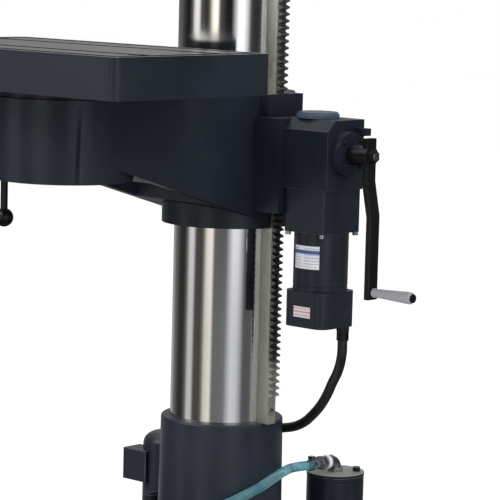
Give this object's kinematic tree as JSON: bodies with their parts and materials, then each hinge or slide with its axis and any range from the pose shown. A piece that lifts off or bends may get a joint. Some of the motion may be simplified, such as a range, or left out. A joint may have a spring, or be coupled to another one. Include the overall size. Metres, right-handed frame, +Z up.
{
  "type": "drill press",
  "caption": "Floor-standing gear-head drill press: ground column with lift rack, motor-driven table arm with hand crank, rectangular slotted table, quill with taper spindle.",
  "frame": {"origin": "on the floor at the base's underside, on the column's axis", "axes": "+Z up the column, -Y towards the operator and the table, +X towards the lifting crank"},
  "size_m": [0.6462, 0.9, 2.094],
  "materials": {
    "machine_paint": "semi-gloss textured enamel, dark blue-grey",
    "machined_and_painted": "dark enamel sides with machined grey top faces",
    "ground_steel": "ground and polished",
    "rack_steel": "milled, pale with an oil film; dark greased teeth",
    "gear_steel": "dark hobbed gear steel",
    "zinc_steel": "zinc plated",
    "black_steel": "black oxide",
    "black_paint": "satin black",
    "grip_plastic": "light grey, worn",
    "black_plastic": "moulded",
    "conduit_rubber": "smooth sheath",
    "clear_hose": "translucent teal",
    "lid_paint": "light grey-green",
    "plate_white": "printed film",
    "panel_grey": "fine texture",
    "button_green": "gloss",
    "button_red": "gloss"
  },
  "bodies": {
    "stand": {"base": "machined_and_painted", "column_foot": "machine_paint", "stand_bolts": "black_steel", "column": "ground_steel", "column_cap": "black_plastic", "lift_rack": "rack_steel", "rack_screws": "black_steel", "filter_canister": "machine_paint", "filter_lid": "lid_paint", "hose_elbow": "zinc_steel", "hose_clamps": "zinc_steel", "coolant_hose": "clear_hose", "coolant_pump": "machine_paint", "pump_terminal_box": "machine_paint", "pump_outlet": "black_steel", "conduit": "conduit_rubber", "conduit_gland": "black_plastic", "head_casting": "machine_paint", "head_cover": "machine_paint", "spindle_motor": "machine_paint", "spindle_motor_fan": "machine_paint", "control_panel": "panel_grey"},
    "arm": {"table_arm": "machine_paint", "gearbox_housing": "machine_paint", "gearbox_cap": "machine_paint", "crank_flange": "machine_paint", "gearhead": "machine_paint", "gearhead_screws": "zinc_steel", "lift_motor": "machine_paint", "fan_cover": "machine_paint", "label_plates": "plate_white", "motor_gland": "black_plastic"},
    "lift_gear": {"lift_pinion": "gear_steel", "pinion_shaft": "ground_steel"},
    "crank": {"crank_shaft": "ground_steel", "worm": "gear_steel", "crank_mitre_gear": "gear_steel", "crank_arm": "black_paint", "crank_nut": "zinc_steel"},
    "lift_drive": {"motor_mitre_gear": "gear_steel"},
    "grip": {"crank_grip": "grip_plastic"},
    "arm_clamp": {"arm_clamp_lever": "black_steel"},
    "table": {"table": "machined_and_painted", "table_pivot": "ground_steel"},
    "table_lock": {"table_lock_lever": "black_steel"},
    "quill": {"quill": "ground_steel", "quill_rack": "rack_steel"},
    "spindle": {"spindle": "ground_steel"},
    "drive_sleeve": {"drive_sleeve": "gear_steel"},
    "motor_rotor": {"motor_pinion": "gear_steel"},
    "feed": {"feed_shaft": "gear_steel", "feed_hub": "machine_paint", "feed_handles": "zinc_steel", "depth_dial": "ground_steel"},
    "start_button": {"start_button": "button_green"},
    "stop_button": {"stop_button": "button_red"},
    "emergency_stop": {"emergency_stop": "button_red"},
    "main_switch": {"main_switch": "black_plastic"},
    "speed_lever_left": {"speed_lever_left": "machine_paint"},
    "speed_lever_right": {"speed_lever_right": "machine_paint"}
  },
  "joints": [
    {"name": "table_lift", "type": "slide", "parent": "stand", "child": "arm", "axis": [0, 0, 1], "range_m": [-0.26, 0.25], "deforming": ["conduit"]},
    {"name": "lift_gear_turn", "type": "hinge", "parent": "arm", "child": "lift_gear", "pos_m": [0.11888, 0, 0.773], "axis": [0, 1, 0], "range_deg": [-800, 830]},
    {"name": "crank_turn", "type": "hinge", "parent": "arm", "child": "crank", "pos_m": [0.2, 0, 0.809], "axis": [1, 0, 0], "range_deg": [-4800, 5000]},
    {"name": "lift_drive_turn", "type": "hinge", "parent": "arm", "child": "lift_drive", "pos_m": [0.1766, 0, 0.76], "axis": [0, 0, 1], "range_deg": [-4800, 5000]},
    {"name": "grip_spin", "type": "hinge", "parent": "crank", "child": "grip", "pos_m": [0.3, 0, 0.624], "axis": [1, 0, 0], "continuous": true},
    {"name": "arm_clamp_turn", "type": "hinge", "parent": "arm", "child": "arm_clamp", "pos_m": [-0.11398, 0.03054, 0.79], "axis": [-0.2588, -0.9659, 0], "range_deg": [-90, 10]},
    {"name": "table_swivel", "type": "hinge", "parent": "arm", "child": "table", "pos_m": [0, -0.321, 0.85], "axis": [0, 0, 1], "range_deg": [-45, 45]},
    {"name": "table_lock_turn", "type": "hinge", "parent": "arm", "child": "table_lock", "pos_m": [-0.1, -0.321, 0.815], "axis": [1, 0, 0], "range_deg": [-60, 60]},
    {"name": "quill_feed", "type": "slide", "parent": "stand", "child": "quill", "axis": [0, 0, -1], "range_m": [0, 0.15], "stiffness_N_per_m": 300, "springref_m": -0.6},
    {"name": "feed_turn", "type": "hinge", "parent": "stand", "child": "feed", "pos_m": [0.1, -0.2595, 1.55], "axis": [1, 0, 0], "range_deg": [0, 385]},
    {"name": "drive_spin", "type": "hinge", "parent": "stand", "child": "drive_sleeve", "pos_m": [0, -0.321, 1.75], "axis": [0, 0, 1], "continuous": true},
    {"name": "spindle_spin", "type": "hinge", "parent": "quill", "child": "spindle", "pos_m": [0, -0.321, 1.5], "axis": [0, 0, 1], "continuous": true},
    {"name": "motor_spin", "type": "hinge", "parent": "stand", "child": "motor_rotor", "pos_m": [0, -0.201, 1.75], "axis": [0, 0, 1], "continuous": true},
    {"name": "start_press", "type": "slide", "parent": "stand", "child": "start_button", "axis": [1, 0, 0], "range_m": [0, 0.004], "stiffness_N_per_m": 800, "springref_m": -0.001},
    {"name": "stop_press", "type": "slide", "parent": "stand", "child": "stop_button", "axis": [1, 0, 0], "range_m": [0, 0.004], "stiffness_N_per_m": 800, "springref_m": -0.001},
    {"name": "emergency_press", "type": "slide", "parent": "stand", "child": "emergency_stop", "axis": [1, 0, 0], "range_m": [0, 0.006], "stiffness_N_per_m": 1000, "springref_m": -0.002},
    {"name": "switch_turn", "type": "hinge", "parent": "stand", "child": "main_switch", "pos_m": [-0.17, -0.28, 1.64], "axis": [1, 0, 0], "range_deg": [-90, 0]},
    {"name": "speed_left_turn", "type": "hinge", "parent": "stand", "child": "speed_lever_left", "pos_m": [-0.06, -0.48, 1.59], "axis": [0, 1, 0], "range_deg": [-35, 35]},
    {"name": "speed_right_turn", "type": "hinge", "parent": "stand", "child": "speed_lever_right", "pos_m": [0.06, -0.48, 1.59], "axis": [0, 1, 0], "range_deg": [-35, 35]}
  ],
  "couplings": [
    {"joint": "lift_gear_turn", "follows": "table_lift", "rad_per_m": -55.556},
    {"joint": "crank_turn", "follows": "table_lift", "rad_per_m": -333.33},
    {"joint": "lift_drive_turn", "follows": "table_lift", "rad_per_m": -333.33},
    {"joint": "feed_turn", "follows": "quill_feed", "rad_per_m": 44.444},
    {"joint": "spindle_spin", "follows": "drive_spin", "ratio": 1},
    {"joint": "motor_spin", "follows": "drive_spin", "ratio": -1.5}
  ]
}
